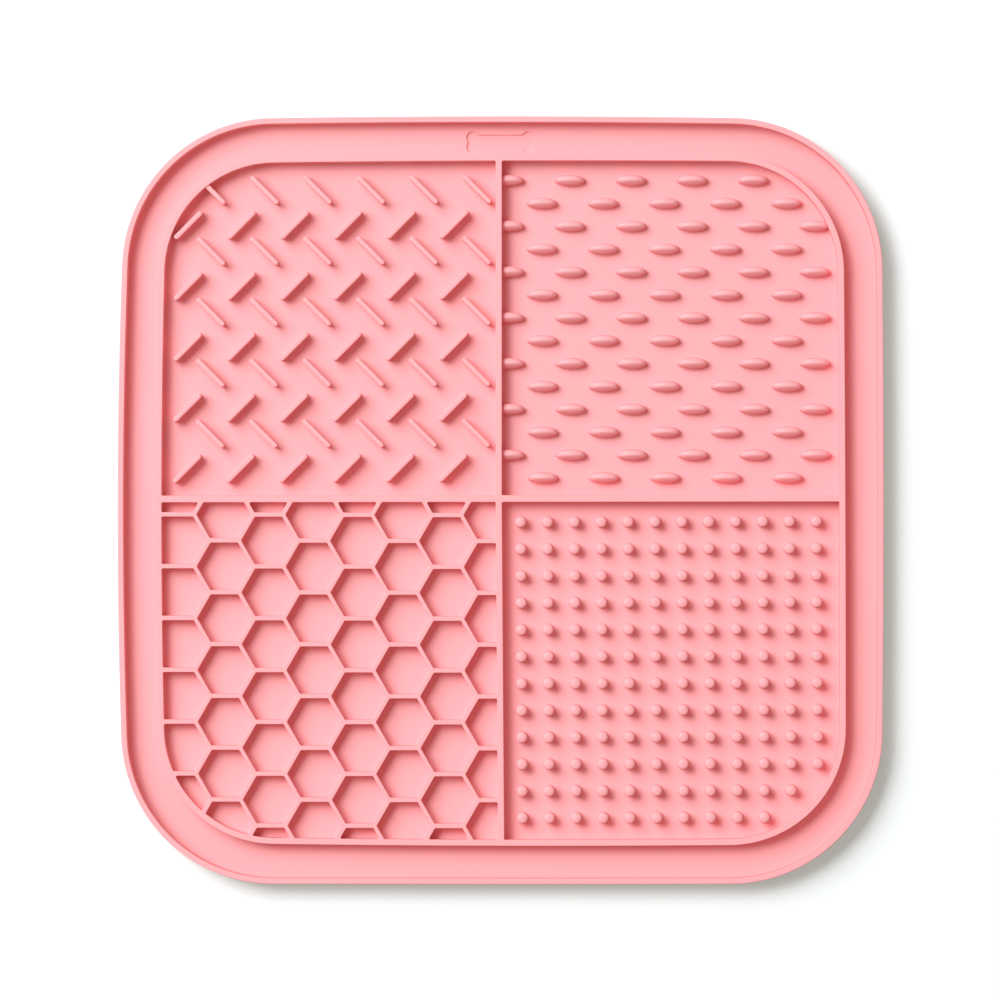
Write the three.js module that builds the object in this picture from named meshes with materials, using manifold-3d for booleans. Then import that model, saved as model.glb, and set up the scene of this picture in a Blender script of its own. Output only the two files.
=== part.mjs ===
// A square lick mat for pets, one flat piece of moulded silicone.
//
// A lip runs round the edge, with a channel inside it. An inner ridge holds four quarters,
// parted by two dividers, and each quarter has its own relief: slanted bars, grains,
// honeycomb cells or nubs.
//
// Units are millimetres, +Z is up, +X is right and +Y is away from the user.
// The origin is the middle of the flat underside.

import * as THREE from 'three';
import { mergeGeometries, mergeVertices } from 'three/addons/utils/BufferGeometryUtils.js';
import Module from 'manifold-3d';

const wasm = await Module();
wasm.setup();

// Levels
const BASE_THICKNESS = 3;
const WALL_HEIGHT = 5;
const NUB_HEIGHT = 4;
const BAR_HEIGHT = 4;
const GRAIN_HEIGHT = 2.9;
const FLOOR = BASE_THICKNESS;
const TOP = BASE_THICKNESS + WALL_HEIGHT;
const ROOT = 0.5; // how far a relief reaches into the base to fuse with it
const CLEAR = 1; // how far a cutter passes the top

// Walls. The sides of the lip and the ridge bow out on large arcs.
const MAT_WIDTH = 200;
const MAT_CORNER_RADIUS = 39.6;
const MAT_SIDE_RADIUS = 2940;
const LIP_WIDTH = 1.5;
const RIDGE_INNER_WIDTH = 176.8;
const RIDGE_CORNER_RADIUS = 28.8;
const RIDGE_SIDE_RADIUS = 2470;
const RIDGE_WIDTH = 1.55;
const DIVIDER_WIDTH = 1.55;
const CORNER_STEPS = 12;
const SIDE_STEPS = 4;

// The cross where the dividers meet is a little off the middle, and all that lies
// below it leans to the right, by this much for each millimetre down.
const CROSS = { x: -0.4, y: 0.4 };
const LEAN = 0.007;

// Upper left quarter: rows of bars, one slanting up and one slanting down in each cell
const BAR_WIDTH = 1.25;
const BAR_LENGTH = 10.6;
const BAR_END_STEPS = 3;
const BAR_COLUMNS = 6;
const BAR_ROWS = 5;
const BAR_PITCH = { x: 13.82, y: 15.86 };
const BAR_SETS = [
  { name: 'rising', x: -81.6, y: 71.6, angle: Math.PI / 4 },
  { name: 'falling', x: -75.3, y: 80.8, angle: -Math.PI / 4 },
];

// Upper right quarter: staggered rows of grains
const GRAIN_LENGTH = 7.7;
const GRAIN_WIDTH = 3;
const GRAIN_SIDES = 8;
const GRAIN_RINGS = 4;
const GRAIN_PITCH = { x: 15.9, y: 5.95 };
const GRAIN_START_Y = 83.4;
const GRAIN_ROWS = 14;
const GRAIN_ROW_KINDS = [{ row: 'even', x: 2.5, count: 6 }, { row: 'odd', x: 11.1, count: 5 }];

// Lower left quarter: honeycomb
const CELL_WALL = 1.15;
const CELL_PITCH = { x: 11.59, y: 13.49 };
const CELL_START = { x: -71.95, y: -17.3 };
const CELL_COLUMNS = { first: -1, last: 6 };
const CELL_ROWS = { first: -2, last: 6 };

// Lower right quarter: square grid of nubs
const NUB_BASE_RADIUS = 1.5;
const NUB_SHOULDER = { radius: 1.3, height: 3.3 };
const NUB_SIDES = 7;
const NUB_PITCH = 7;
const NUB_START = { x: 5, y: -5.5 };
const NUBS_IN_ROW = [12, 12, 12, 12, 12, 12, 12, 12, 12, 12, 11, 10];

// A shallow bone-shaped recess in the floor of the channel, at the middle of the far side
const BONE_CENTRE_Y = 93.2;
const BONE_DEPTH = 0.4;
const BONE_SHAFT = { length: 14.4, width: 3.8 };
const BONE_KNOB = { radius: 1.75, x: 7.2, y: 1.2 };
const BONE_KNOB_SIDES = 12;

// Helpers that turn geometries into solids and back

function solidOf(geometry) {
  geometry.deleteAttribute('normal');
  geometry.deleteAttribute('uv');
  const merged = mergeVertices(geometry);
  return new wasm.Manifold(new wasm.Mesh({
    numProp: 3,
    vertProperties: merged.attributes.position.array,
    triVerts: Uint32Array.from(merged.index.array),
  }));
}

function geometryOf(solid) {
  const mesh = solid.getMesh();
  const geometry = new THREE.BufferGeometry();
  geometry.setAttribute('position', new THREE.BufferAttribute(mesh.vertProperties, 3));
  geometry.setIndex(new THREE.BufferAttribute(mesh.triVerts, 1));
  geometry.computeVertexNormals();
  return geometry;
}

function prism(shape, bottom, top) {
  const geometry = new THREE.ExtrudeGeometry(shape, { depth: top - bottom, bevelEnabled: false });
  return geometry.translate(0, 0, bottom);
}

function leanedX(x, y) {
  return x + LEAN * Math.max(0, CROSS.y - y);
}

// Outlines

function arcPoints(centreX, centreY, radius, from, to, steps) {
  return Array.from({ length: steps }, (_, i) => {
    const angle = from + ((to - from) * i) / steps;
    return new THREE.Vector2(centreX + radius * Math.cos(angle), centreY + radius * Math.sin(angle));
  });
}

// A square whose sides are shallow arcs, each meeting the round corners tangentially.
// offset moves the whole outline outwards, or inwards if it is negative.
function bowedSquare(width, cornerRadius, sideRadius, offset = 0) {
  const reach = sideRadius - width / 2;
  const between = sideRadius - cornerRadius;
  const corner = (Math.sqrt(2 * between * between - reach * reach) - reach) / 2;
  const tangent = Math.atan2(corner, corner + reach);
  const points = [];
  for (let quarter = 0; quarter < 4; quarter += 1) {
    const side = arcPoints(-reach, 0, sideRadius + offset, -tangent, tangent, SIDE_STEPS);
    const round = arcPoints(corner, corner, cornerRadius + offset, tangent, Math.PI / 2 - tangent, CORNER_STEPS);
    const turn = (quarter * Math.PI) / 2;
    const origin = new THREE.Vector2();
    for (const point of [...side, ...round]) points.push(point.rotateAround(origin, turn));
  }
  return points;
}

const matOutline = (offset) => bowedSquare(MAT_WIDTH, MAT_CORNER_RADIUS, MAT_SIDE_RADIUS, offset);
const ridgeOutline = (offset) => (
  bowedSquare(RIDGE_INNER_WIDTH, RIDGE_CORNER_RADIUS, RIDGE_SIDE_RADIUS, offset)
);

// Sub-parts

function tray() {
  const block = solidOf(prism(new THREE.Shape(matOutline(0)), 0, TOP));
  const channelShape = new THREE.Shape(matOutline(-LIP_WIDTH));
  channelShape.holes.push(new THREE.Path(ridgeOutline(RIDGE_WIDTH)));
  const channel = solidOf(prism(channelShape, FLOOR, TOP + CLEAR));
  const inside = solidOf(prism(new THREE.Shape(ridgeOutline(0)), FLOOR, TOP + CLEAR));
  return block.subtract(channel).subtract(inside);
}

function boneRecess() {
  const height = BONE_DEPTH + CLEAR;
  const middle = FLOOR + height / 2 - BONE_DEPTH;
  const shaft = new THREE.BoxGeometry(BONE_SHAFT.length, BONE_SHAFT.width, height);
  let bone = solidOf(shaft.translate(0, BONE_CENTRE_Y, middle));
  for (const sideX of [-1, 1]) {
    for (const sideY of [-1, 1]) {
      const knob = new THREE.CylinderGeometry(BONE_KNOB.radius, BONE_KNOB.radius, height, BONE_KNOB_SIDES);
      knob.rotateX(Math.PI / 2);
      knob.translate(sideX * BONE_KNOB.x, BONE_CENTRE_Y + sideY * BONE_KNOB.y, middle);
      bone = bone.add(solidOf(knob));
    }
  }
  return bone;
}

// The space of one quarter, from inside the base to the top. It ends in the middle
// of the ridge and of the dividers, so that a relief cut to it fuses with them.
function quarter(sideX, sideY) {
  const far = MAT_WIDTH / 2;
  const endY = sideY * far;
  const square = new THREE.Shape([
    new THREE.Vector2(CROSS.x, CROSS.y),
    new THREE.Vector2(sideX * far, CROSS.y),
    new THREE.Vector2(sideX * far, endY),
    new THREE.Vector2(leanedX(CROSS.x, endY), endY),
  ]);
  const disc = new THREE.Shape(ridgeOutline(RIDGE_WIDTH / 2));
  return solidOf(prism(square, FLOOR - ROOT, TOP)).intersect(solidOf(prism(disc, FLOOR - ROOT, TOP)));
}

function dividers() {
  const half = DIVIDER_WIDTH / 2;
  const reach = (RIDGE_INNER_WIDTH + RIDGE_WIDTH) / 2;
  const lowX = leanedX(CROSS.x, -reach);
  const upright = new THREE.Shape([
    new THREE.Vector2(lowX - half, -reach),
    new THREE.Vector2(lowX + half, -reach),
    new THREE.Vector2(CROSS.x + half, CROSS.y),
    new THREE.Vector2(CROSS.x + half, reach),
    new THREE.Vector2(CROSS.x - half, reach),
    new THREE.Vector2(CROSS.x - half, CROSS.y),
  ]);
  const level = new THREE.Shape([
    new THREE.Vector2(-reach, CROSS.y - half),
    new THREE.Vector2(reach, CROSS.y - half),
    new THREE.Vector2(reach, CROSS.y + half),
    new THREE.Vector2(-reach, CROSS.y + half),
  ]);
  return solidOf(prism(upright, FLOOR - ROOT, TOP)).add(solidOf(prism(level, FLOOR - ROOT, TOP)));
}

function barShape() {
  const radius = BAR_WIDTH / 2;
  const reach = BAR_LENGTH / 2 - radius;
  const right = arcPoints(reach, 0, radius, -Math.PI / 2, Math.PI / 2, BAR_END_STEPS);
  const left = arcPoints(-reach, 0, radius, Math.PI / 2, (3 * Math.PI) / 2, BAR_END_STEPS);
  return new THREE.Shape([
    ...right,
    new THREE.Vector2(reach, radius),
    ...left,
    new THREE.Vector2(-reach, -radius),
  ]);
}

function bars() {
  const geometries = [];
  for (const set of BAR_SETS) {
    for (let row = 0; row < BAR_ROWS; row += 1) {
      for (let column = 0; column < BAR_COLUMNS; column += 1) {
        const bar = prism(barShape(), FLOOR - ROOT, FLOOR + BAR_HEIGHT);
        bar.rotateZ(set.angle);
        bar.translate(set.x + BAR_PITCH.x * column, set.y - BAR_PITCH.y * row, 0);
        geometries.push(bar);
      }
    }
  }
  return solidOf(mergeGeometries(geometries)).intersect(quarter(-1, 1));
}

function grains() {
  const geometries = [];
  for (let row = 0; row < GRAIN_ROWS; row += 1) {
    const kind = GRAIN_ROW_KINDS[row % 2];
    for (let column = 0; column < kind.count; column += 1) {
      const grain = new THREE.SphereGeometry(1, GRAIN_SIDES, GRAIN_RINGS).rotateX(Math.PI / 2);
      grain.scale(GRAIN_LENGTH / 2, GRAIN_WIDTH / 2, GRAIN_HEIGHT);
      grain.translate(kind.x + GRAIN_PITCH.x * column, GRAIN_START_Y - GRAIN_PITCH.y * row, FLOOR);
      geometries.push(grain);
    }
  }
  return solidOf(mergeGeometries(geometries)).intersect(quarter(1, 1));
}

// A cell is a hexagon. In the first column its left side runs straight on into the ridge.
function cellShape(isFirst) {
  const radius = (CELL_PITCH.y - CELL_WALL) / Math.sqrt(3);
  if (!isFirst) return new THREE.Shape(arcPoints(0, 0, radius, 0, 2 * Math.PI, 6));
  const half = (CELL_PITCH.y - CELL_WALL) / 2;
  const far = 2 * radius;
  return new THREE.Shape([
    new THREE.Vector2(-far, -half),
    new THREE.Vector2(radius / 2, -half),
    new THREE.Vector2(radius, 0),
    new THREE.Vector2(radius / 2, half),
    new THREE.Vector2(-far, half),
  ]);
}

function honeycomb() {
  const geometries = [];
  for (let column = CELL_COLUMNS.first; column <= CELL_COLUMNS.last; column += 1) {
    const shift = column % 2 === 0 ? 0 : CELL_PITCH.y / 2;
    for (let row = CELL_ROWS.first; row <= CELL_ROWS.last; row += 1) {
      const y = CELL_START.y - shift - CELL_PITCH.y * row;
      const cell = prism(cellShape(column === CELL_COLUMNS.first), FLOOR - CLEAR, TOP + CLEAR);
      geometries.push(cell.translate(leanedX(CELL_START.x + CELL_PITCH.x * column, y), y, 0));
    }
  }
  return quarter(-1, -1).subtract(solidOf(mergeGeometries(geometries)));
}

function nubs() {
  const profile = [
    new THREE.Vector2(0, -ROOT),
    new THREE.Vector2(NUB_BASE_RADIUS, -ROOT),
    new THREE.Vector2(NUB_SHOULDER.radius, NUB_SHOULDER.height),
    new THREE.Vector2(0, NUB_HEIGHT),
  ];
  const geometries = [];
  NUBS_IN_ROW.forEach((count, row) => {
    for (let column = 0; column < count; column += 1) {
      const y = NUB_START.y - NUB_PITCH * row;
      const nub = new THREE.LatheGeometry(profile, NUB_SIDES).rotateX(Math.PI / 2);
      geometries.push(nub.translate(leanedX(NUB_START.x + NUB_PITCH * column, y), y, FLOOR));
    }
  });
  return solidOf(mergeGeometries(geometries)).intersect(quarter(1, -1));
}

const silicone = new THREE.MeshStandardMaterial({ color: 0xf3a3aa, roughness: 0.55, metalness: 0 });
const moulding = tray()
  .add(dividers())
  .add(bars())
  .add(grains())
  .add(honeycomb())
  .add(nubs())
  .subtract(boneRecess());

const mat = new THREE.Mesh(geometryOf(moulding), silicone);
mat.name = 'mat';

const group = new THREE.Group();
group.add(mat);

export default group;
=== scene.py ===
# %% [markdown]
# # A lick mat in moulded silicone
#
# The real mat is one piece of soft pink silicone, pressed in a steel mould. A lip runs
# round its edge, then a channel, then a ridge that holds four quarters of relief: bars,
# grains, honeycomb and nubs. Nothing is joined on, so the model is one closed skin too.
# This script loads the measured frame, builds that skin around it and lights it.

import math

import bmesh
import bpy
import numpy as np
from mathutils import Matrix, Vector
from mathutils.geometry import delaunay_2d_cdt


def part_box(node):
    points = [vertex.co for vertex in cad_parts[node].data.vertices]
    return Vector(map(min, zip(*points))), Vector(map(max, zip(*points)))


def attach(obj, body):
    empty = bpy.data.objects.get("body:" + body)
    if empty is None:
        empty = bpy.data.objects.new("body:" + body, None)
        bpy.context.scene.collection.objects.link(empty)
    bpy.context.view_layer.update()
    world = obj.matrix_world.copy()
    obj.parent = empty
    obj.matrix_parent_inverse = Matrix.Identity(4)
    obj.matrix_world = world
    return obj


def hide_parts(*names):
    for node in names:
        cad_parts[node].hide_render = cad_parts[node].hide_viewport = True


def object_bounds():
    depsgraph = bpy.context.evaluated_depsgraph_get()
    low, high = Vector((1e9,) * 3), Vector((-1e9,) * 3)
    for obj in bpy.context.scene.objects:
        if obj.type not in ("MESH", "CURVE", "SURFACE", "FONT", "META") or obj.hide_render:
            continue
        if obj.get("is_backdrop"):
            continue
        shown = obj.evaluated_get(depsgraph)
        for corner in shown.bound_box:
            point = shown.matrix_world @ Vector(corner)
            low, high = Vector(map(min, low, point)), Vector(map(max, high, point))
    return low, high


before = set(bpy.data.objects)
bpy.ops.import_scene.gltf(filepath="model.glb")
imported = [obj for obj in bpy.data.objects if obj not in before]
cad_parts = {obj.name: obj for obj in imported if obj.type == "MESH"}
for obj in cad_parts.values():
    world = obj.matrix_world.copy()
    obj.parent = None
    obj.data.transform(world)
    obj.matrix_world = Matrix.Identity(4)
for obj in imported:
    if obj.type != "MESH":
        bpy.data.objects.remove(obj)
cad_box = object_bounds()
mat_low, mat_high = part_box("mat")
print("the frame's mat measures", [round(side * 1000, 2) for side in mat_high - mat_low], "mm")

# %% [markdown]
# ## Sizes
#
# All sizes are millimetres and become metres only when the skin is made. The overall width
# and height are read from the frame, so the skin can't drift from it. The rest repeats the
# frame's own sizes, and adds what a mould gives every edge: a small round on top, a cove at
# the foot and a little draft on the walls, which let the soft part come out whole.

# %% Sizes of the mat
MM = 0.001
MAT_WIDTH = (mat_high.x - mat_low.x) / MM
TOP = mat_high.z / MM
WALL_HEIGHT = 5.0
FLOOR = TOP - WALL_HEIGHT

MAT_CORNER_RADIUS = 39.6
LIP_WIDTH = 1.5
RIDGE_CORNER_RADIUS = 28.8
RIDGE_WIDTH = 1.55
UPRIGHT_WIDTH, LEVEL_WIDTH = 1.6, 1.75  # the two dividers, as they run on the picture

# how far inside the frame's box a side's middle lies, its arc's radius, and its turn in radians
MAT_SIDES = (
    {"side": "right", "inside": 0.18, "radius": 5700.0, "turn": 0.0},
    {"side": "far", "inside": 0.1, "radius": 4100.0, "turn": 0.0003},
    {"side": "left", "inside": 0.36, "radius": 1800.0, "turn": -0.0018},
    {"side": "near", "inside": 0.0, "radius": 30000.0, "turn": -0.0003},
)
RIDGE_SIDES = (
    {"side": "right", "inside": 11.7, "radius": 14000.0, "turn": 0.004},
    {"side": "far", "inside": 11.66, "radius": 5900.0, "turn": 0.0035},
    {"side": "left", "inside": 11.83, "radius": 2500.0, "turn": -0.0009},
    {"side": "near", "inside": 11.55, "radius": 5200.0, "turn": -0.0027},
)

CROSS = np.array([-0.4, 0.39])  # where the dividers meet
LEVEL_TILT = 0.0012  # how far the level one rises for each millimetre to the right
LEAN = 0.007  # how far what lies below the cross moves right for each millimetre down

LIP_ROUND = 0.25
TOP_ROUND = 0.15
FOOT_COVE = 0.14
DRAFT = 0.04  # how far a wall's foot stands out from its top
HOLD = 0.06  # a narrow flat band beside each round, so that the flats shade as flats
CORNER_ROUND = 0.35  # upright corners of the pockets, at the top
SHARPEST = 0.12  # and the least they keep at the foot
print("floor at", round(FLOOR, 3), "mm, top at", round(TOP, 3), "mm")

# %% [markdown]
# ## Outlines
#
# The mat is no plain rounded square: each side bows out a little, on an arc metres in radius,
# and meets the corner arcs without a kink. It is soft and lies as it was dropped, so no two
# sides bow or lean alike. One function gives the mat's outline and the ridge's from their
# circles. A bezier could do it too, but then the tangent points would be guessed.

# %% Closed outlines, as arrays of points that run anticlockwise


def arc(centre, radius, start, end, steps):
    """Points on a circle: centre + radius (cos a, sin a), for a from start up to, not on, end."""
    angle = start + (end - start) * np.arange(steps) / steps
    return np.asarray(centre) + radius * np.stack([np.cos(angle), np.sin(angle)], axis=1)


def turned(points, angle):
    """Points turned about the origin: (x cos a - y sin a, x sin a + y cos a)."""
    cos, sin = math.cos(angle), math.sin(angle)
    return points @ np.array([[cos, sin], [-sin, cos]])


def four_sided(sides, corner_radius, side_steps=14, corner_steps=30):
    """A closed outline of four shallow arcs, with corner arcs that touch them tangentially.

    A side's circle is centred one radius in from the side's middle. A corner's circle lies
    inside two of them, so its centre is where circles of a and b, each the side's radius less
    the corner's, cross: (a^2 - b^2 + c^2) / 2c along the line of length c between the centres.
    """
    centres = []
    for k, side in enumerate(sides):
        inwards = side["radius"] * np.array([math.cos(side["turn"]), math.sin(side["turn"])])
        centre = (MAT_WIDTH / 2 - side["inside"], 0) - inwards
        centres.append(turned(centre, k * math.pi / 2))
    corners = []
    for k in range(4):
        line = centres[(k + 1) % 4] - centres[k]
        length = np.linalg.norm(line)
        a, b = (sides[n]["radius"] - corner_radius for n in (k, (k + 1) % 4))
        along = (a**2 - b**2 + length**2) / (2 * length)
        across = math.sqrt(a**2 - along**2)
        unit = line / length
        corners.append(centres[k] + along * unit + across * np.array([-unit[1], unit[0]]))
    parts = []
    for k in range(4):
        after = centres[(k + 1) % 4]
        directions = corners[k - 1] - centres[k], corners[k] - centres[k], corners[k] - after
        first, second, third = (math.atan2(y, x) for x, y in directions)
        bow = first + (second - first) % (2 * math.pi)
        turn = second + (third - second) % (2 * math.pi)
        parts.append(arc(centres[k], sides[k]["radius"], first, bow, side_steps))
        parts.append(arc(corners[k], corner_radius, second, turn, corner_steps))
    return np.concatenate(parts)


def normals_of(loop):
    """At each point, the outward step that moves both neighbouring edges out by one."""
    edge = np.roll(loop, -1, axis=0) - loop
    edge /= np.linalg.norm(edge, axis=1, keepdims=True)
    after = np.stack([edge[:, 1], -edge[:, 0]], axis=1)
    both = after + np.roll(after, 1, axis=0)
    return 2 * both / np.sum(both**2, axis=1, keepdims=True)


mat_outline = four_sided(MAT_SIDES, MAT_CORNER_RADIUS)
ridge_inside = four_sided(RIDGE_SIDES, RIDGE_CORNER_RADIUS)
ridge_outside = ridge_inside + RIDGE_WIDTH * normals_of(ridge_inside)
ridge_middle = ridge_inside + RIDGE_WIDTH / 2 * normals_of(ridge_inside)
print("outlines of", len(mat_outline), "points, the mat", np.ptp(mat_outline, axis=0).round(2), "mm")

# %% [markdown]
# ## One skin from many surfaces
#
# Every wall on the mat is the same idea: a profile carried round a closed path. A row of the
# profile says how far out from the path and how high a ring of points lies, and neighbouring
# rings are joined by quads. The flats between the walls are filled by triangulation with the
# feet of the walls as holes. Both share their rim points, so welding them closes the skin.
# Modelling by hand would do for one relief, but not repeat hundreds of them exactly.

# %% Gather the surfaces of the skin
SAME_POINT = 1e-7  # millimetres within which the triangulation takes two points as one
skin = {"points": [], "faces": [], "count": 0}


def add_faces(points, faces):
    """Adds points (n, 3) and their faces, numbered on from those that are there already."""
    skin["points"].append(points)
    skin["faces"].extend((faces + skin["count"]).tolist())
    skin["count"] += len(points)


def carried(loop, profile):
    """Rings (row, point, xyz): the loop moved out by each row's offset, at its height."""
    offset, height = np.asarray(profile, float).T
    flat = loop + offset[:, None, None] * normals_of(loop)
    level = np.broadcast_to(height[:, None, None], flat.shape[:2] + (1,))
    return np.concatenate([flat, level], axis=2)


def ring_quads(rows, around):
    """Quads (i, j), (i, j+1), (i+1, j+1), (i+1, j) between ring i and the next, closing round."""
    start = np.arange(rows - 1)[:, None] * around
    here = np.arange(around)
    ahead = (here + 1) % around
    corners = [start + here, start + ahead, start + around + ahead, start + around + here]
    return np.stack(corners, axis=2).reshape(-1, 4)


def add_rings(rings):
    """Adds the surface through rings that run from the outside in, or from the bottom up."""
    add_faces(rings.reshape(-1, 3), ring_quads(*rings.shape[:2]))


def add_flat(loops, height, up=True):
    """Fills the flat between the first loop and the others, which are holes in it."""
    points = np.concatenate(loops)
    ends = np.cumsum([len(loop) for loop in loops])
    rims = [list(range(end - len(loop), end)) for loop, end in zip(loops, ends)]
    found = delaunay_2d_cdt(points.tolist(), [], rims, 0, SAME_POINT, True)
    source = np.array([ids[0] for ids in found[3]])
    in_first_only = [list(ids) == [0] for ids in found[5]]
    triangles = source[np.array(found[2])[in_first_only]]
    a, b, c = (points[triangles[:, k]] for k in range(3))
    turns_left = (b - a)[:, 0] * (c - a)[:, 1] > (b - a)[:, 1] * (c - a)[:, 0]
    wrong = turns_left != up
    triangles[wrong] = triangles[wrong, ::-1]
    add_faces(np.column_stack([points, np.full(len(points), height)]), triangles)


print("the skin starts with", skin["count"], "points")

# %% [markdown]
# ## Profiles
#
# A profile is a short list of rows, and its curved stretches are quarter ellipses. A pocket's
# wall comes over the round top edge, down with its draft and out over the cove at its foot.
# Turned end for end and mirrored, the same rows are the outside of a wall. A bevel modifier
# could round the edges, but it gives every edge the same round, and no wall its draft.

# %% Rows (offset, height) of the walls
ROUND_STEPS, COVE_STEPS = 4, 5  # steps along a wall's round top edge and along its cove


def bend(start, end, steps, level_first):
    """Rows on a quarter ellipse that leaves level and arrives upright, or the other way round.

    The slow share is 1 - cos a and the quick share is sin a, for a quarter turn of a.
    """
    angle = np.linspace(0, math.pi / 2, steps + 1)
    slow, quick = 1 - np.cos(angle), np.sin(angle)
    share = np.stack([quick, slow] if level_first else [slow, quick], axis=1)
    return np.asarray(start) + share * np.subtract(end, start)


def wall_down(share=1.0, floor=FLOOR):
    """A pocket's wall. The share narrows its foot, for pockets too small for the full cove."""
    foot, toe = -share * DRAFT, -share * (DRAFT + FOOT_COVE)
    return np.concatenate([
        [(TOP_ROUND + HOLD, TOP)],
        bend((TOP_ROUND, TOP), (0, TOP - TOP_ROUND), ROUND_STEPS, level_first=True),
        bend((foot, floor + FOOT_COVE), (toe, floor), COVE_STEPS, level_first=False),
        [(toe - share * HOLD, floor)],
    ])


def wall_up():
    """The outside of a wall, from its foot to its top: the rows of wall_down, seen from behind."""
    return wall_down()[::-1] * (-1, 1)


print("a pocket's wall has", len(wall_down()), "rows, and its foot is",
      round(-wall_down()[-1, 0], 2), "mm inside its top")

# %% [markdown]
# ## Rim, channel and ridge
#
# The rim is one profile round the mat's outline: from the underside over a small round, up
# the outer wall, over the lip and down into the channel. The ridge's outer wall is carried
# round its own outline. The real lip is a little softer outside than inside, because the
# mould closes there and the seam is trimmed off. A curve with a bevel profile would give such
# a rim as well, but its edges would have to be matched to the flats by hand.

# %% Rim and ridge
BASE_ROUND = 0.35
BASE_STEPS, LIP_STEPS = 4, 5


def rim_profile():
    """Rows from the flat underside to the channel's floor."""
    return np.concatenate([
        [(-BASE_ROUND - HOLD, 0)],
        bend((-BASE_ROUND, 0), (0, BASE_ROUND), BASE_STEPS, level_first=True),
        bend((0, TOP - LIP_ROUND), (-LIP_ROUND, TOP), LIP_STEPS, level_first=False),
        [(-LIP_ROUND - HOLD, TOP)],
        wall_down() + (-LIP_WIDTH, 0),
    ])


rim = carried(mat_outline, rim_profile())
ridge = carried(ridge_outside, wall_up())
add_rings(rim)
add_rings(ridge)
add_flat([rim[0, :, :2]], 0, up=False)
print("rim and ridge:", len(skin["faces"]), "faces")

# %% [markdown]
# ## Bone in the channel
#
# A little bone is pressed into the channel's floor at the far side, a plain ornament that
# many pet bowls have. It is a shaft with two knobs at each end, outlined by arcs that meet
# at a notch, and it is so shallow that only its edge shows. It could be a bump texture, but
# a real recess catches the light from any side.

# %% Bone recess
BONE_CENTRE = np.array([0.0, 93.42])
BONE_DEPTH = 0.5
BONE_SHAFT_WIDTH = 3.8
KNOB_RADIUS = 1.65
KNOB_X, KNOB_Y = 7.2, 1.15
BONE_EDGE, BONE_EDGE_STEPS = 0.06, 3


def bone_outline(steps=14):
    """Half the outline is two arcs, from the right notch to the shaft and on to the left notch."""
    notch = -math.asin(KNOB_Y / KNOB_RADIUS)
    shaft = math.asin((BONE_SHAFT_WIDTH / 2 - KNOB_Y) / KNOB_RADIUS)
    step = (math.pi - shaft - notch) / steps
    right = arc((KNOB_X, KNOB_Y), KNOB_RADIUS, notch, math.pi - shaft + step, steps + 1)
    left = arc((-KNOB_X, KNOB_Y), KNOB_RADIUS, shaft, math.pi - notch, steps)
    half = np.concatenate([right, left])
    return np.concatenate([half, turned(half, math.pi)])


def bone_profile():
    """Rows from the channel's floor over a soft edge down to the recess's floor."""
    bottom = FLOOR - BONE_DEPTH
    return np.concatenate([
        [(BONE_EDGE + HOLD, FLOOR)],
        bend((BONE_EDGE, FLOOR), (0, FLOOR - BONE_EDGE), BONE_EDGE_STEPS, level_first=True),
        bend((0, bottom + BONE_EDGE), (-BONE_EDGE, bottom), BONE_EDGE_STEPS, level_first=False),
        [(-BONE_EDGE - HOLD, bottom)],
    ])


bone = carried(BONE_CENTRE + bone_outline(), bone_profile())
add_rings(bone)
add_flat([bone[-1, :, :2]], FLOOR - BONE_DEPTH)
add_flat([rim[-1, :, :2], ridge[0, :, :2], bone[0, :, :2]], FLOOR)
print("bone recess", np.ptp(bone_outline(), axis=0).round(1), "mm, in the channel's floor")

# %% [markdown]
# ## Pockets
#
# Inside the ridge the mat is a plane with pockets sunk into it: three open quarters and the
# honeycomb's cells. Each is a convex outline, cut from a larger one by straight lines. A
# boolean could cut the cells instead, but a line through a convex outline is simple to work
# out, never fails, and leaves clean rims to build on.

# %% Convex outlines
SHORTEST_EDGE = 1e-6  # millimetres


def cut(polygon, point, outward):
    """The part of a convex polygon behind a line: where (p - point) . outward is not above 0."""
    ahead = np.roll(polygon, -1, axis=0)
    here, there = (polygon - point) @ outward, (ahead - point) @ outward
    crosses = here * there < 0
    share = np.where(crosses, here, 0) / np.where(crosses, here - there, 1)
    crossing = polygon + share[:, None] * (ahead - polygon)
    keep = np.stack([here <= 0, crosses], axis=1)
    return np.stack([polygon, crossing], axis=1)[keep]


def edges_of(polygon):
    """Each edge's start and its unit outward normal, without edges of no length."""
    edge = np.roll(polygon, -1, axis=0) - polygon
    length = np.linalg.norm(edge, axis=1)
    real = length > SHORTEST_EDGE
    normal = np.stack([edge[real, 1], -edge[real, 0]], axis=1) / length[real, None]
    return polygon[real], normal


def cut_to(polygon, limits, inset=0.0):
    """The polygon cut by every edge of a convex outline, each moved in by the inset."""
    for start, normal in zip(*edges_of(limits)):
        polygon = cut(polygon, start - inset * normal, normal)
        if len(polygon) < 3:
            return np.empty((0, 2))
    return polygon


def area_of(polygon):
    """Half the sum of x y' - x' y over the edges."""
    x, y = polygon.T
    return (x * np.roll(y, -1) - np.roll(x, -1) * y).sum() / 2


print("the ridge surrounds", round(area_of(ridge_inside) / 100, 1), "cm2")

# %% [markdown]
# ### Rounded corners
#
# No pocket in a moulding has a knife-sharp corner, because the cutter that made the mould is
# round. Shrinking an outline and growing it back, with an arc round each corner, rounds any
# convex shape, also the cut cells at the edges. The same step gives every row of the wall.

# %% Rings round a pocket
WIDEST_TURN = math.radians(24)  # between two points of a rounded corner
TURN_SLACK = 0.2  # the part of such a turn by which it may still be wider


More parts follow.
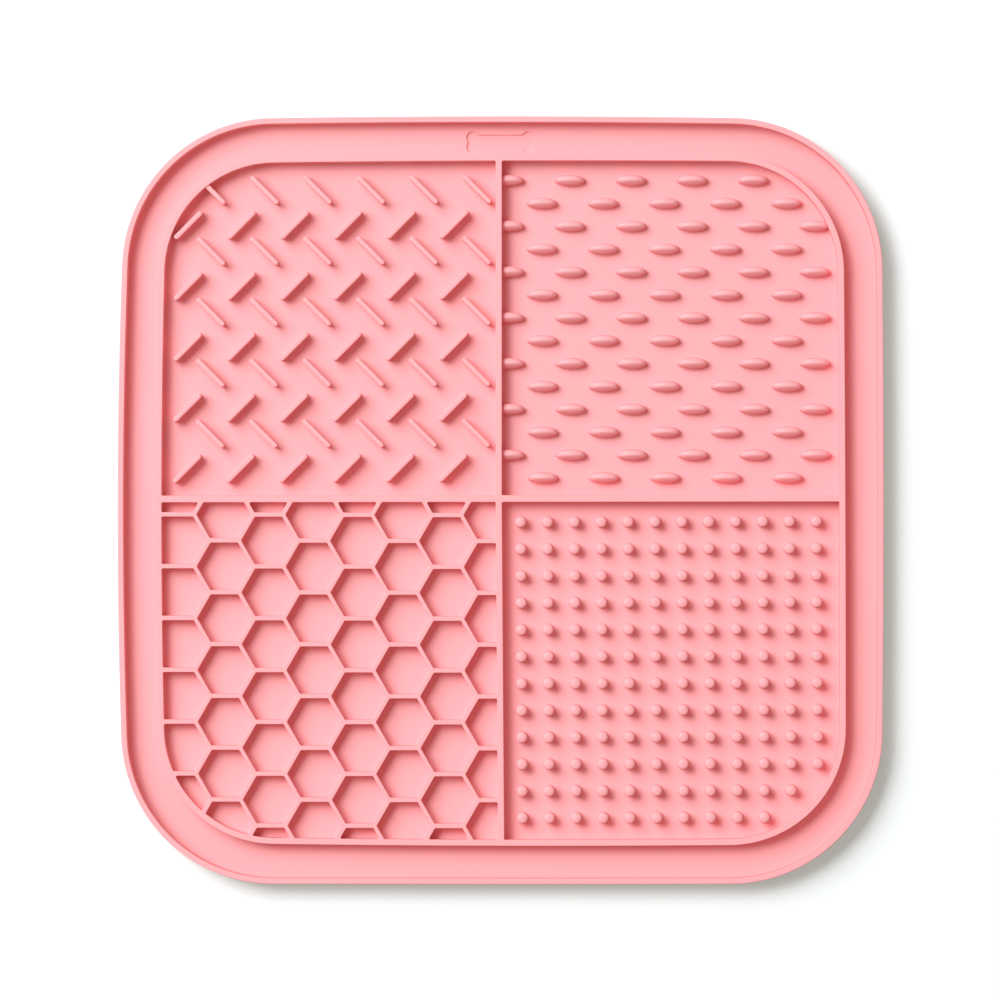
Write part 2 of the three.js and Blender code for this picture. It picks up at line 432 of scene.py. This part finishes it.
def rounded_rings(outline, profile):
    """Rings round a convex outline, each row moved out by its offset, with rounded corners.

    The outline is first shrunk past its innermost row. A row's corners lie deepest + offset - r
    out from there, with an arc of r round each, and r is CORNER_ROUND + offset or SHARPEST.
    A corner that turns by t gets 1 + t / WIDEST_TURN points, rounded up but for the slack.
    """
    offset, height = profile.T
    deepest = SHARPEST - offset.min()
    corners, normal = edges_of(cut_to(outline, outline, deepest))
    before = np.roll(normal, 1, axis=0)
    start = np.arctan2(before[:, 1], before[:, 0])
    turn = np.mod(np.arctan2(normal[:, 1], normal[:, 0]) - start, 2 * math.pi)
    count = 1 + np.ceil(turn / WIDEST_TURN - TURN_SLACK).astype(int)
    which = np.repeat(np.arange(len(corners)), count)
    step = np.arange(len(which)) - np.repeat(np.cumsum(count) - count, count)
    share = np.where(count[which] > 1, step / np.maximum(count[which] - 1, 1), 0.5)
    angle = start[which] + turn[which] * share
    radius = np.maximum(CORNER_ROUND + offset, SHARPEST)[:, None, None]
    out = (deepest + offset)[:, None, None] - radius
    towards = np.stack([np.cos(angle), np.sin(angle)], axis=1)
    flat = corners[which] + out * normals_of(corners)[which] + radius * towards
    level = np.broadcast_to(height[:, None, None], flat.shape[:2] + (1,))
    return np.concatenate([flat, level], axis=2)


square_corner = 1 + math.ceil(math.pi / 2 / WIDEST_TURN - TURN_SLACK)
print("a square corner is rounded with", square_corner, "points")

# %% [markdown]
# ## Four quarters
#
# A quarter reaches from the ridge to the faces of the two dividers, which lie as the soft mat
# does: the lower half of the upright one leans to the right, and the level one rises a little
# to the right. Two lines cut the ridge's outline down to a quarter. A second outline, cut along
# the middles of the walls, says later how far a relief may grow into them.

# %% The quarters, between the ridge and the dividers


def leaned(points):
    """What lies below the cross moves right by LEAN for each millimetre down."""
    down = np.maximum(0, CROSS[1] - points[..., 1])
    return points + LEAN * down[..., None] * (1, 0)


def quarter_inside(side_x, side_y, limits, gap, level_gap):
    """The outline cut back to one quarter, up to the gaps from the dividers' middle lines."""
    across_level = side_y * np.array([-LEVEL_TILT, 1.0])
    polygon = cut(limits, CROSS + level_gap * across_level, -across_level)
    far = leaned(np.array([CROSS[0], side_y * MAT_WIDTH / 2]))
    along = (far - CROSS) / np.linalg.norm(far - CROSS)
    outward = -side_x * side_y * np.array([along[1], -along[0]])
    return cut(polygon, CROSS - gap * outward, outward)


quarters = {}
for name, side_x, side_y in (("bars", -1, 1), ("grains", 1, 1), ("honeycomb", -1, -1), ("nubs", 1, -1)):
    inside = quarter_inside(side_x, side_y, ridge_inside, UPRIGHT_WIDTH / 2, LEVEL_WIDTH / 2)
    held = quarter_inside(side_x, side_y, ridge_middle, 0.0, 0.0)
    quarters[name] = {"inside": inside, "held": held}
    print(name, "quarter:", round(area_of(inside) / 100, 1), "cm2")

# %% [markdown]
# ## Honeycomb
#
# The cells are hexagonal pockets, with walls level with the ridge, and every second column
# lies half a pitch lower. In the first column they run straight on into the ridge. Cells at
# the edge are cut by the ridge and the dividers, and a cut cell too small for the full cove
# gets half of it. An array modifier would repeat one cell, but not cut the ones at the edge.

# %% Honeycomb cells
CELL_WALL = 1.15
CELL_DEPTH = 4.45
CELL_PITCH = np.array([11.59, 13.49])
CELL_START = np.array([-72.0, -17.24])
CELL_SINK = 0.0025  # rows lie this much lower for each millimetre to the right
CELL_COLUMNS = range(-1, 7)
CELL_ROWS = range(-2, 7)
SMALLEST_AREA = 0.05  # square millimetres of floor, below which a cut cell is left out
COVE_SHARES = (1.0, 0.5)  # a pocket's cove is tried in full and then by half


def cell_outline(first_column):
    """A hexagon with two level sides, or in the first column one whose left side runs on."""
    half = (CELL_PITCH[1] - CELL_WALL) / 2
    radius = 2 * half / math.sqrt(3)
    if not first_column:
        return arc((0, 0), radius, 0, 2 * math.pi, 6)
    far = 2 * radius
    return np.array([(-far, -half), (radius / 2, -half), (radius, 0), (radius / 2, half), (-far, half)])


def sunk_pocket(outline, floor=FLOOR):
    """Adds a pocket's wall and gives its rings, or None if the pocket is too small."""
    for share in COVE_SHARES:
        profile = wall_down(share, floor)
        if area_of(cut_to(outline, outline, SHARPEST - profile[:, 0].min())) > SMALLEST_AREA:
            rings = rounded_rings(outline, profile)
            add_rings(rings)
            return rings
    return None


rims = []
for column in CELL_COLUMNS:
    for row in CELL_ROWS:
        drop = CELL_PITCH[1] * (row + 0.5 * (column % 2))
        aside = CELL_PITCH[0] * column
        centre = leaned(CELL_START + (aside, -drop - CELL_SINK * aside))
        outline = cut_to(centre + cell_outline(column == CELL_COLUMNS[0]), quarters["honeycomb"]["inside"])
        cell = sunk_pocket(outline, TOP - CELL_DEPTH) if len(outline) else None
        if cell is not None:
            add_flat([cell[-1, :, :2]], TOP - CELL_DEPTH)
            rims.append(cell[0, :, :2])
print("honeycomb:", len(rims), "cells, walls", CELL_WALL, "mm thick")

# %% [markdown]
# ## Bars, grains and nubs
#
# The other quarters have reliefs that stand on an open floor. Each kind is one small grid of
# rings, from the floor over a cove, up and over to the middle, and all its copies are made
# at once by adding an array of centres. Objects that share a mesh could repeat it too, but
# then the mat would be many pieces and not one skin.

# %% Copies of a relief
RELIEF_COVE_STEPS, RELIEF_ROUND_STEPS = 3, 4


def stand_up(outline, half_spine, cove, draft, height, top_round):
    """Rings of a relief with upright sides: cove, wall, round top edge and a level top.

    The last ring falls together on the spine, a level line (x, 0) with x up to half_spine.
    """
    top = FLOOR + height
    rings = carried(outline, np.concatenate([
        [(cove + HOLD, FLOOR)],
        bend((cove, FLOOR), (0, FLOOR + cove), RELIEF_COVE_STEPS, level_first=True),
        bend((-draft, top - top_round[1]), (-draft - top_round[0], top), RELIEF_ROUND_STEPS,
             level_first=False),
    ]))
    spine = np.stack([outline[:, 0].clip(-half_spine, half_spine),
                      np.zeros(len(outline)), np.full(len(outline), top)], axis=1)
    return np.concatenate([rings, spine[None]])


def grid(start, pitch, columns, rows):
    """Centres row by row: start + (column x pitch, -row y pitch)."""
    column, row = np.meshgrid(np.arange(columns), np.arange(rows))
    return np.asarray(start) + np.stack([column.ravel(), -row.ravel()], axis=1) * pitch


def skewed(centres, skew):
    """Centres moved by skew @ (offset from their middle). A soft mat never lies quite square."""
    return centres + (centres - centres.mean(axis=0)) @ np.transpose(skew)


def set_at(rings, centres):
    """Copies of the rings (row, point, xyz), one moved to each centre."""
    return rings + np.pad(centres, ((0, 0), (0, 1)))[:, None, None, :]


print("a relief's cove has", RELIEF_COVE_STEPS, "steps and its top edge", RELIEF_ROUND_STEPS)

# %% [markdown]
# ### Free, or grown into a wall
#
# Most reliefs stand free, and their feet are holes in the floor's triangulation. A few run
# into a wall, as the mould's maker let the pattern go on under it. Those are closed, cut short
# inside the wall and kept for a union later, because a hole can't cross the floor's rim.

# %% Reliefs in their quarter
ROOT = 0.5  # how far a relief that is joined later reaches into the base
COVE_ROWS = RELIEF_COVE_STEPS + 1  # the rings it leaves out, to cross the floor upright
LEAST_SLANT = 0.2  # a wall that runs more nearly along a relief's axis doesn't cut it short
grown_in = []


def reach_beyond(feet, limits):
    """How far each foot's points (relief, point, xy) lie outside a convex outline."""
    start, normal = edges_of(limits)
    return (np.einsum("rpk,ek->rpe", feet, normal) - np.sum(start * normal, axis=1)).max(axis=2)


def grow_in(rings, limits, along):
    """Keeps a closed copy of a relief that reaches a wall, cut short inside it along its axis."""
    upright = rings[COVE_ROWS:]
    foot = upright[:1] * (1, 1, 0) + (0, 0, FLOOR - ROOT)
    ends = foot.mean(axis=1, keepdims=True) + np.zeros_like(foot)
    shell = np.concatenate([ends, foot, upright])
    for start, normal in zip(*edges_of(limits)):
        over = np.maximum(0, (shell[..., :2] - start) @ normal)
        steep = normal @ along
        if abs(steep) > LEAST_SLANT:
            shell[..., :2] -= (over / steep)[..., None] * along
    grown_in.append(shell)


def add_quarter(name, copies, along):
    """Sinks a quarter's pocket and sets its reliefs (relief, row, point, xyz) on the floor.

    Each relief has the unit vector of its own axis, along which it may run into a wall.
    """
    pocket = sunk_pocket(quarters[name]["inside"])
    floor_loop = pocket[-1, :, :2]
    feet = copies[:, 0, :, :2]
    free = reach_beyond(feet, floor_loop).max(axis=1) < -HOLD
    within = reach_beyond(feet, quarters[name]["inside"]).mean(axis=1) < 0
    for rings in copies[free]:
        add_rings(rings)
    for rings, axis in zip(copies[within & ~free], along[within & ~free]):
        grow_in(rings, quarters[name]["held"], axis)
    add_flat([floor_loop, *feet[free]], FLOOR)
    rims.append(pocket[0, :, :2])
    print(name, free.sum(), "free,", (within & ~free).sum(), "grown into a wall")


print("quarters with reliefs to set:", [name for name in quarters if name != "honeycomb"])

# %% [markdown]
# ### Bars
#
# The bars are narrow fins in two slants, so that each pair makes a T. They are the tallest
# relief, so a tongue has to work round them. Each is one outline of two half circles with a
# level top. A cube with a bevel would look alike, but its round ends would need more care
# than the two arcs do.

# %% Bars
BAR_WIDTH, BAR_LENGTH, BAR_HEIGHT = 1.35, 10.0, 4.6
BAR_COVE, BAR_DRAFT, BAR_ROUND = 0.06, 0.06, 0.2
BAR_PITCH = np.array([13.82, 15.86])
BAR_COLUMNS, BAR_ROWS = 6, 5
BAR_SETS = (
    {"start": (-81.37, 71.74), "slant": math.pi / 4},
    {"start": (-75.38, 80.8), "slant": -math.pi / 4},
)
BAR_SKEW = [[0.0013, 0.0052], [0.0035, -0.0006]]


def bar_rings(angle, steps=7):
    """A bar on a level spine, its outline two half circles, turned by the angle."""
    radius = BAR_WIDTH / 2
    half_spine = BAR_LENGTH / 2 - radius
    half = arc((half_spine, 0), radius, -math.pi / 2, math.pi / 2 + math.pi / steps, steps + 1)
    outline = np.concatenate([half, turned(half, math.pi)])
    rings = stand_up(outline, half_spine, BAR_COVE, BAR_DRAFT, BAR_HEIGHT, (BAR_ROUND, BAR_ROUND))
    rings[..., :2] = turned(rings[..., :2], angle)
    return rings


bars, bar_axes = [], []
for bar_set in BAR_SETS:
    slant = bar_set["slant"]
    bar_centres = skewed(grid(bar_set["start"], BAR_PITCH, BAR_COLUMNS, BAR_ROWS), BAR_SKEW)
    bars.append(set_at(bar_rings(slant), bar_centres))
    bar_axes.append(np.tile((math.cos(slant), math.sin(slant)), (len(bar_centres), 1)))
add_quarter("bars", np.concatenate(bars), np.concatenate(bar_axes))
print("a bar is", BAR_LENGTH, "mm long,", BAR_WIDTH, "mm wide and", BAR_HEIGHT, "mm high")

# %% [markdown]
# ### Grains
#
# Each relief here looks like a grain of rice that lies half sunk in the floor. In section it is a
# lopsided roof on a low step, gentle on the far side and steep on the near one. Offsetting
# the ellipse inwards would fold at its tips, so each foot point is instead carried straight
# in along its normal to the ellipse's spine, where it meets the point that comes from the
# other side. A hyperbola of the distance left to the spine gives a roof with a soft ridge.

# %% Grains
GRAIN_LENGTH, GRAIN_WIDTH = 7.97, 2.96
GRAIN_HEIGHT = 3.65
GRAIN_FALL = 0.45  # the ridge sinks towards the tips as the width does, to this power
GRAIN_FAR_SLOPE, GRAIN_NEAR_SLOPE = 0.55, 1.7  # rise for each millimetre in
GRAIN_COVE, GRAIN_STEP_WIDTH = 0.08, 0.08
GRAIN_RIDGE_ROUND = 0.55
GRAIN_RIDGE_ASIDE = 0.05  # the ridge runs a little to the far side of the middle
GRAIN_PITCH = np.array([15.9, 5.95])
GRAIN_START_Y = 83.32
GRAIN_ROWS = 14
GRAIN_ROW_KINDS = ({"x": 2.37, "count": 6}, {"x": 10.97, "count": 5})
GRAIN_SKEW = [[0.0029, -0.0042], [0.0004, 0.0031]]
GRAIN_POINTS = 24
TIP_CROWDING = 0.28
GRAIN_RING_SHARES = (0, 0.03, 0.08, 0.16, 0.32, 0.5, 0.67, 0.8, 0.91, 1)  # of the way to the spine


def grain_rings():
    """Rings at shares s of the way in from foot to spine.

    A foot point (a cos u, b sin u) meets the spine at x = (a - b^2 / a) cos u, after
    D = (b / a) sqrt(a^2 sin^2 u + b^2 cos^2 u). With t = D - s D left to go, the roof rises by
    m (sqrt(D^2 + r^2) - sqrt(t^2 + r^2)), with the slope m eased from near to far by sin u.
    The step makes up the rest of the ridge's height, and u is crowded at the tips.
    """
    a, b = GRAIN_LENGTH / 2, GRAIN_WIDTH / 2
    even = 2 * math.pi * np.arange(GRAIN_POINTS) / GRAIN_POINTS
    u = even - TIP_CROWDING * np.sin(2 * even)
    ellipse = np.stack([a * np.cos(u), b * np.sin(u)], axis=1)
    spine = np.stack([(a - b**2 / a) * np.cos(u), np.zeros(GRAIN_POINTS)], axis=1)
    full = np.linalg.norm(ellipse - spine, axis=1)
    share = np.array(GRAIN_RING_SHARES)[:, None]
    slope = GRAIN_NEAR_SLOPE + (GRAIN_FAR_SLOPE - GRAIN_NEAR_SLOPE) * (1 + np.sin(u)) / 2
    roof = slope * (np.hypot(full, GRAIN_RIDGE_ROUND) - np.hypot((1 - share) * full, GRAIN_RIDGE_ROUND))
    ridge_height = (GRAIN_HEIGHT - GRAIN_COVE) * (full / full.max()) ** GRAIN_FALL
    step = 1 - np.exp(-share * full / GRAIN_STEP_WIDTH)
    height = roof + (ridge_height - roof[-1]) * step / step[-1] + FLOOR + GRAIN_COVE
    flat = ellipse + share[..., None] * (spine + (0, GRAIN_RIDGE_ASIDE) - ellipse)
    top = np.concatenate([flat, height[..., None]], axis=2)
    foot = carried(ellipse, [(GRAIN_COVE + HOLD, FLOOR), (GRAIN_COVE, FLOOR),
                             (GRAIN_COVE / 3, FLOOR + GRAIN_COVE / 3)])
    return np.concatenate([foot, top])


grains = grain_rings()
grain_centres = np.concatenate([
    grid((kind["x"], GRAIN_START_Y - GRAIN_PITCH[1] * row), GRAIN_PITCH, kind["count"], 1)
    for row in range(GRAIN_ROWS)
    for kind in [GRAIN_ROW_KINDS[row % 2]]
])
grain_centres = skewed(grain_centres, GRAIN_SKEW)
add_quarter("grains", set_at(grains, grain_centres), np.tile([1.0, 0.0], (len(grain_centres), 1)))
print("a grain is", round(grains[..., 2].max() - FLOOR, 2), "mm high")

# %% [markdown]
# ### Nubs
#
# The nubs are round pegs in a square grid, a little domed on top. The last two rows are one
# and two shorter, where the ridge's corner leaves no room. A cylinder with a bevel would do
# for one, but this way a nub is a bar without length, so the same function makes both.

# %% Nubs
NUB_RADIUS, NUB_HEIGHT = 1.54, 4.5
NUB_COVE, NUB_DRAFT = 0.06, 0.08
NUB_DOME, NUB_DOME_SHARE = 0.54, 0.86  # the dome's height, and its share of the radius
NUB_PITCH = 7.0
NUB_START = (5.2, -5.65)
NUB_SKEW = [[0.0004, 0.0004], [0.003, 0.0016]]
NUBS_IN_ROW = (12,) * 10 + (11, 10)
NUB_POINTS = 14

nub = stand_up(arc((0, 0), NUB_RADIUS, 0, 2 * math.pi, NUB_POINTS), 0, NUB_COVE, NUB_DRAFT,
               NUB_HEIGHT, (NUB_DOME_SHARE * NUB_RADIUS, NUB_DOME))
nub_centres = grid(NUB_START, NUB_PITCH, max(NUBS_IN_ROW), len(NUBS_IN_ROW))
nub_column = np.tile(np.arange(max(NUBS_IN_ROW)), len(NUBS_IN_ROW))
nub_centres = leaned(nub_centres[nub_column < np.repeat(NUBS_IN_ROW, max(NUBS_IN_ROW))])
nub_centres = skewed(nub_centres, NUB_SKEW)
add_quarter("nubs", set_at(nub, nub_centres), np.tile([1.0, 0.0], (len(nub_centres), 1)))
print("a nub is", 2 * NUB_RADIUS, "mm wide and", NUB_HEIGHT, "mm high")

# %% [markdown]
# ## Close the skin
#
# The level top, with every pocket's rim as a hole, is the last surface. Welding points that
# coincide joins all the surfaces into one closed skin, and a count of open edges proves it.
# A remesh would close the skin as well, but it would also melt the small rounds away.

# %% Weld the skin
WELD = 1e-3 * MM


def closed_mesh(name, points, faces):
    """A mesh in metres with coinciding points welded and collapsed faces dropped."""
    mesh = bpy.data.meshes.new(name)
    mesh.from_pydata((points * MM).tolist(), [], faces)
    shell = bmesh.new()
    shell.from_mesh(mesh)
    bmesh.ops.remove_doubles(shell, verts=shell.verts, dist=WELD)
    bmesh.ops.dissolve_degenerate(shell, edges=shell.edges, dist=WELD / 10)
    open_edges = sum(not edge.is_manifold for edge in shell.edges)
    shell.to_mesh(mesh)
    shell.free()
    print(name, len(mesh.polygons), "faces,", open_edges, "open edges")
    return mesh


def shown(name, mesh):
    """An object for the mesh, at the origin."""
    piece = bpy.data.objects.new(name, mesh)
    bpy.context.scene.collection.objects.link(piece)
    return piece


add_flat([ridge[-1, :, :2], *rims], TOP)
mat = shown("mat_skin", closed_mesh("mat_skin", np.concatenate(skin["points"]), skin["faces"]))

# %% [markdown]
# ### Join what grows into the walls
#
# The reliefs that run into a wall are added by a boolean union, which is what the mould does
# too: one cavity, with no seam inside. They are closed and reach well into the base, so the
# union meets no face that lies in another. They could stay loose pieces stuck in the wall,
# but then the skin would not be one solid. Edges that turn sharply are marked for shading.

# %% Union with the grown-in reliefs
SHARP_TURN = math.radians(38)

shell_faces, shell_count = [], 0
for shell in grown_in:
    shell_faces.extend((ring_quads(*shell.shape[:2]) + shell_count).tolist())
    shell_count += shell.shape[0] * shell.shape[1]
shell_points = np.concatenate([shell.reshape(-1, 3) for shell in grown_in])
joined = shown("joined_relief", closed_mesh("joined_relief", shell_points, shell_faces))

union = mat.modifiers.new("grown in", "BOOLEAN")
union.operation = "UNION"
union.solver = "MANIFOLD"
union.object = joined
depsgraph = bpy.context.evaluated_depsgraph_get()
united = bpy.data.meshes.new_from_object(mat.evaluated_get(depsgraph))
mat.modifiers.clear()
mat.data = united
bpy.data.objects.remove(joined)
mat.data.polygons.foreach_set("use_smooth", np.ones(len(mat.data.polygons), bool))
mat.data.set_sharp_from_angle(angle=SHARP_TURN)
triangle_count = sum(len(face.vertices) - 2 for face in mat.data.polygons)
print("skin:", triangle_count, "triangles")

# %% [markdown]
# ## Tools for materials
#
# Both materials here, rubber and acrylic, are one Principled shader each. What varies over the
# surface comes from noise in object coordinates, measured in real millimetres. Image textures
# could do it too, but then they would need seams on a shape without any.

# %% Tools for materials


def linear(hex_colour):
    """An sRGB hex colour as linear RGBA: c / 12.92 up to 0.04045, else ((c + 0.055) / 1.055)^2.4."""
    c = np.array([int(hex_colour[k:k + 2], 16) for k in (1, 3, 5)]) / 255
    return (*np.where(c <= 0.04045, c / 12.92, ((c + 0.055) / 1.055) ** 2.4), 1.0)


def new_material(name, colour, roughness):
    """A material with one Principled shader, and that shader."""
    material = bpy.data.materials.new(name)
    material.use_nodes = True
    shader = material.node_tree.nodes["Principled BSDF"]
    shader.inputs["Base Color"].default_value = linear(colour)
    shader.inputs["Roughness"].default_value = roughness
    return material, shader


def add_node(tree, kind, **values):
    """A node whose named inputs are set to a value, or linked if the value is a socket."""
    node = tree.nodes.new(kind)
    for name, value in values.items():
        socket = node.inputs[name.replace("_", " ")]
        if isinstance(value, bpy.types.NodeSocket):
            tree.links.new(value, socket)
        else:
            socket.default_value = value
    return node


def noise_of_size(tree, size, detail):
    """Noise from 0 to 1, in object coordinates, whose lumps are about size millimetres wide."""
    place = add_node(tree, "ShaderNodeTexCoord").outputs["Object"]
    return add_node(tree, "ShaderNodeTexNoise", Vector=place, Scale=1 / (size * MM), Detail=detail)


print("a middle grey is", round(float(linear("#808080")[0]), 3), "in linear light")

# %% [markdown]
# ## Silicone
#
# Moulded silicone is matt, because the steel mould is etched: a fine grain stands on every
# face and spreads the gloss. The pigment is stirred in, so the colour is nearly even, with
# only faint clouds. Flats also sag by hundredths of a millimetre, which a soft light shows as
# slow waves. All three are noise: two bump nodes in a row for the grain on the waves, and a
# small change of the colour's value for the clouds.

# %% Silicone
SILICONE_PINK = "#f8a3a5"
SILICONE_ROUGHNESS = 0.55
SILICONE_IOR = 1.41
ETCH_SIZE, ETCH_DEPTH, ETCH_DETAIL = 0.35, 0.004, 2.0
WAVE_SIZE, WAVE_DEPTH, WAVE_DETAIL = 24.0, 0.03, 1.0
CLOUD_SIZE, CLOUD_SHARE, CLOUD_DETAIL = 45.0, 0.03, 2.0

silicone, shader = new_material("silicone_moulded_matt", SILICONE_PINK, SILICONE_ROUGHNESS)
shader.inputs["IOR"].default_value = SILICONE_IOR
tree = silicone.node_tree

# the grain of the etched mould, and under it the slow waves of a soft sheet
wave = noise_of_size(tree, WAVE_SIZE, WAVE_DETAIL).outputs["Fac"]
waves = add_node(tree, "ShaderNodeBump", Distance=WAVE_DEPTH * MM, Height=wave)
etch = noise_of_size(tree, ETCH_SIZE, ETCH_DETAIL).outputs["Fac"]
etch_on_waves = add_node(tree, "ShaderNodeBump", Distance=ETCH_DEPTH * MM, Height=etch,
                         Normal=waves.outputs["Normal"])
tree.links.new(etch_on_waves.outputs["Normal"], shader.inputs["Normal"])

# clouds of pigment: the colour is scaled by 1 - CLOUD_SHARE / 2 up to 1 + CLOUD_SHARE / 2
cloud = noise_of_size(tree, CLOUD_SIZE, CLOUD_DETAIL).outputs["Fac"]
scale = add_node(tree, "ShaderNodeMapRange", Value=cloud, To_Min=1 - CLOUD_SHARE / 2,
                 To_Max=1 + CLOUD_SHARE / 2)
tint = add_node(tree, "ShaderNodeHueSaturation", Color=linear(SILICONE_PINK),
                Value=scale.outputs["Result"])
tree.links.new(tint.outputs["Color"], shader.inputs["Base Color"])

mat.data.materials.clear()
mat.data.materials.append(silicone)
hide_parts("mat")
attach(mat, "root")
print("silicone grain", ETCH_SIZE, "mm wide and", ETCH_DEPTH * 1000, "micrometres deep")

# %% [markdown]
# ## Floor
#
# The mat lies on a plain acrylic sheet, a little warm, so that it looks white in the cool
# light. The sheet glows faintly with a cool, cyan-green emission of its own. This is a painted
# glow, with no lamp below it, and it keeps the shadows on the sheet light and neutral. A bounce
# card on each side would lighten those shadows too, but it would also lighten the shadows on the mat.

# %% Floor
FLOOR_HALF = 2.0
FLOOR_GAP = 5e-5  # keeps the floor from flickering through the underside
ACRYLIC_WHITE = "#f7dcdd"
ACRYLIC_ROUGHNESS = 0.6
# painted glow: the sheet's own emission, which lightens the shadows cast on it
PAINTED_GLOW_COLOUR = (0.0, 1.0, 0.86, 1.0)
PAINTED_GLOW_STRENGTH = 0.215

floor_corners = np.array([(-1, -1, 0), (1, -1, 0), (1, 1, 0), (-1, 1, 0)]) * FLOOR_HALF
floor_mesh = bpy.data.meshes.new("studio_floor")
floor_mesh.from_pydata((floor_corners - (0, 0, FLOOR_GAP)).tolist(), [], [(0, 1, 2, 3)])
floor = shown("studio_floor", floor_mesh)
acrylic, acrylic_shader = new_material("acrylic_sheet_white", ACRYLIC_WHITE, ACRYLIC_ROUGHNESS)
# painted glow: this emission lifts the floor's shadows and takes the red tint out of them
acrylic_shader.inputs["Emission Color"].default_value = PAINTED_GLOW_COLOUR
acrylic_shader.inputs["Emission Strength"].default_value = PAINTED_GLOW_STRENGTH
floor.data.materials.append(acrylic)
floor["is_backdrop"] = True
print("floor", 2 * FLOOR_HALF, "m wide")

# %% [markdown]
# ## Light
#
# The photo's shadows fall to the lower right. They open quickly and end in a long soft tail,
# so two lights make them: a small softbox, and a large one farther out behind it. Their light
# is cooler than the fill from all round, which is why the shadows are so red. A sky picture
# could light the mat too, but two boxes can be moved until the shadows have the right length.

# %% Softboxes and fill
LIGHT_HEIGHT = 1.8
LIGHT_COLOUR = (0.75, 1.0, 1.04)
FILL_COLOUR = (1.46, 1.0, 0.96, 1.0)
FILL_STRENGTH = 0.3
SOFTBOXES = (
    {"name": "softbox_small", "left": 0.5, "back": 0.3, "size": 0.4, "watts": 12.3},
    {"name": "softbox_large", "left": 0.66, "back": 0.5, "size": 0.9, "watts": 59.5},
)


def add_softbox(name, left, back, size, watts):
    """A square area light that faces the mat. Its place and size are shares of its height."""
    data = bpy.data.lights.new(name, "AREA")
    data.shape = "SQUARE"
    data.size = size * LIGHT_HEIGHT
    data.color = LIGHT_COLOUR
    data.energy = watts
    box = bpy.data.objects.new(name, data)
    bpy.context.scene.collection.objects.link(box)
    box.location = Vector((-left, back, 1.0)) * LIGHT_HEIGHT
    box.rotation_euler = (-box.location).to_track_quat("-Z", "Y").to_euler()
    print(name, "at", [round(value, 2) for value in box.location], "m,", watts, "W")


for softbox in SOFTBOXES:
    add_softbox(**softbox)

world = bpy.data.worlds.new("studio")
bpy.context.scene.world = world
world.use_nodes = True
fill = world.node_tree.nodes["Background"]
fill.inputs["Color"].default_value = FILL_COLOUR
fill.inputs["Strength"].default_value = FILL_STRENGTH

# %% [markdown]
# ## Camera
#
# The photo looks straight down. The lens is chosen so that one pixel covers the same width on
# the mat's top as in the photo, and the camera stands a fraction of a pixel off the middle. An
# orthographic camera would be simpler, but it would show no wall's side near the edges.

# %% Camera
PIXEL = 0.26025 * MM  # the width that one pixel covers on the mat's top
PIXELS_ACROSS = 1000
VIEW_WIDTH = PIXELS_ACROSS * PIXEL
CAMERA_HEIGHT = 1.6
CAMERA_ASIDE = (-0.3 * PIXEL, 0.1 * PIXEL)  # from the mat's middle
FARTHEST_SEEN = 10.0
SENSOR = 36.0

camera = bpy.data.objects.new("camera", bpy.data.cameras.new("camera"))
bpy.context.scene.collection.objects.link(camera)
bpy.context.scene.camera = camera
camera.location = (*CAMERA_ASIDE, CAMERA_HEIGHT + TOP * MM)
camera.data.sensor_width = SENSOR
camera.data.lens = SENSOR * CAMERA_HEIGHT / VIEW_WIDTH
camera.data.clip_end = FARTHEST_SEEN
bpy.context.scene.view_settings.view_transform = "Standard"
bpy.context.scene.view_settings.look = "None"
print("lens", round(camera.data.lens, 1), "mm")

# %% [markdown]
# ## Size against the frame
#
# The two boxes are printed side by side: the measured frame's and the visual mat's.

# %% Size against the frame
visual_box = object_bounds()
for label, (low, high) in (("frame", cad_box), ("visual", visual_box)):
    print(label, [round((b - a) / MM, 2) for a, b in zip(low, high)], "mm")
